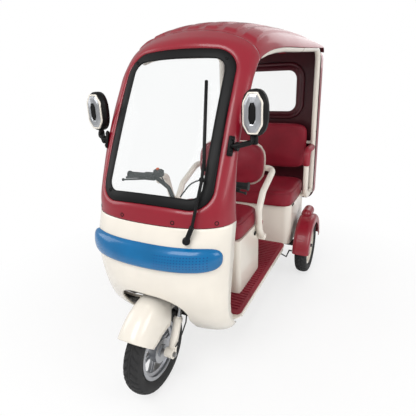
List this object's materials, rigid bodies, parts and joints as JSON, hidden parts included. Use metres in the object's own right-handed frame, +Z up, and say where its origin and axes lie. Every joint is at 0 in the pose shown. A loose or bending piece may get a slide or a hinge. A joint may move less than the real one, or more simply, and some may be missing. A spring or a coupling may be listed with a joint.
{
  "type": "electric rickshaw",
  "caption": "Small three-wheel electric passenger rickshaw with a moulded nose and canopy, handlebar steering, a driver's seat and a passenger bench.",
  "frame": {"origin": "centre of the overall box at the floor that the tyres stand on", "axes": "+X forward, +Y to the vehicle's left, +Z up"},
  "size_m": [2.008, 0.98, 1.719],
  "materials": {
    "frame_paint": "satin black paint",
    "cream_plastic": "cream gloss",
    "red_mat": "ribbed crimson mat",
    "black_plastic": "satin black",
    "red_plastic": "crimson gloss",
    "clear_glass": "clear",
    "blue_lens": "blue lens",
    "red_lens": "red lens",
    "cream_tube": "cream powder coat",
    "battery_case": "satin",
    "seat_vinyl": "dark red vinyl",
    "red_pad": "soft crimson",
    "spring_steel": "black spring steel",
    "mirror_glass": "mirror",
    "bright_metal": "bright",
    "rubber_black": "black rubber",
    "tyre_rubber": "black",
    "silver_rim": "silver cast",
    "cream_rim": "cream paint"
  },
  "bodies": {
    "chassis": {"chassis_frame": "frame_paint", "floor_pan": "cream_plastic", "floor_mat": "red_mat", "nose_fairing": "cream_plastic", "leg_shield": "cream_plastic", "dash_panel": "black_plastic", "windscreen_surround": "red_plastic", "windscreen_border": "black_plastic", "windscreen_glass": "clear_glass", "lamp_band": "blue_lens", "wiper": "black_plastic", "roof_panel": "red_plastic", "canopy_frame": "cream_tube", "rear_panel": "red_plastic", "rear_window": "clear_glass", "tail_lamps": "red_lens", "driver_box": "cream_plastic", "battery_pack": "battery_case", "box_locks": "black_plastic", "driver_backrest": "seat_vinyl", "driver_backrest_shell": "cream_plastic", "driver_stays": "cream_tube", "stay_foot_pads": "red_pad", "bench_box": "cream_plastic", "bench_backrest": "seat_vinyl", "armrest_pads": "red_pad", "rear_mudguards": "red_plastic", "mudguard_stays": "frame_paint", "rear_axle": "frame_paint", "leaf_springs": "spring_steel", "mirror_housings": "black_plastic", "mirror_glasses": "mirror_glass"},
    "steering": {"fork_legs": "cream_tube", "fork_tubes": "bright_metal", "front_mudguard": "cream_plastic", "handlebar": "frame_paint", "hand_controls": "rubber_black", "front_axle": "bright_metal", "brake_cable": "rubber_black"},
    "front_wheel": {"front_tyre": "tyre_rubber", "front_rim": "silver_rim"},
    "rear_wheel_left": {"rear_tyre_left": "tyre_rubber", "rear_rim_left": "cream_rim"},
    "rear_wheel_right": {"rear_tyre_right": "tyre_rubber", "rear_rim_right": "cream_rim"},
    "driver_lid": {"driver_cushion": "seat_vinyl"},
    "bench_lid": {"bench_cushion": "seat_vinyl"}
  },
  "joints": [
    {"name": "steering_turn", "type": "hinge", "parent": "chassis", "child": "steering", "pos_m": [0.44467, 0, 0.78068], "axis": [-0.4695, 0, 0.8829], "range_deg": [-30, 30]},
    {"name": "front_wheel_spin", "type": "hinge", "parent": "steering", "child": "front_wheel", "pos_m": [0.8, 0, 0.204], "axis": [0, 1, 0], "continuous": true},
    {"name": "rear_wheel_left_spin", "type": "hinge", "parent": "chassis", "child": "rear_wheel_left", "pos_m": [-0.592, 0.427, 0.204], "axis": [0, 1, 0], "continuous": true},
    {"name": "rear_wheel_right_spin", "type": "hinge", "parent": "chassis", "child": "rear_wheel_right", "pos_m": [-0.592, -0.427, 0.204], "axis": [0, 1, 0], "continuous": true},
    {"name": "driver_lid_hinge", "type": "hinge", "parent": "chassis", "child": "driver_lid", "pos_m": [0.334, 0, 0.596], "axis": [0, 1, 0], "range_deg": [0, 60]},
    {"name": "bench_lid_hinge", "type": "hinge", "parent": "chassis", "child": "bench_lid", "pos_m": [-0.38, 0, 0.56], "axis": [0, 1, 0], "range_deg": [0, 60]}
  ]
}
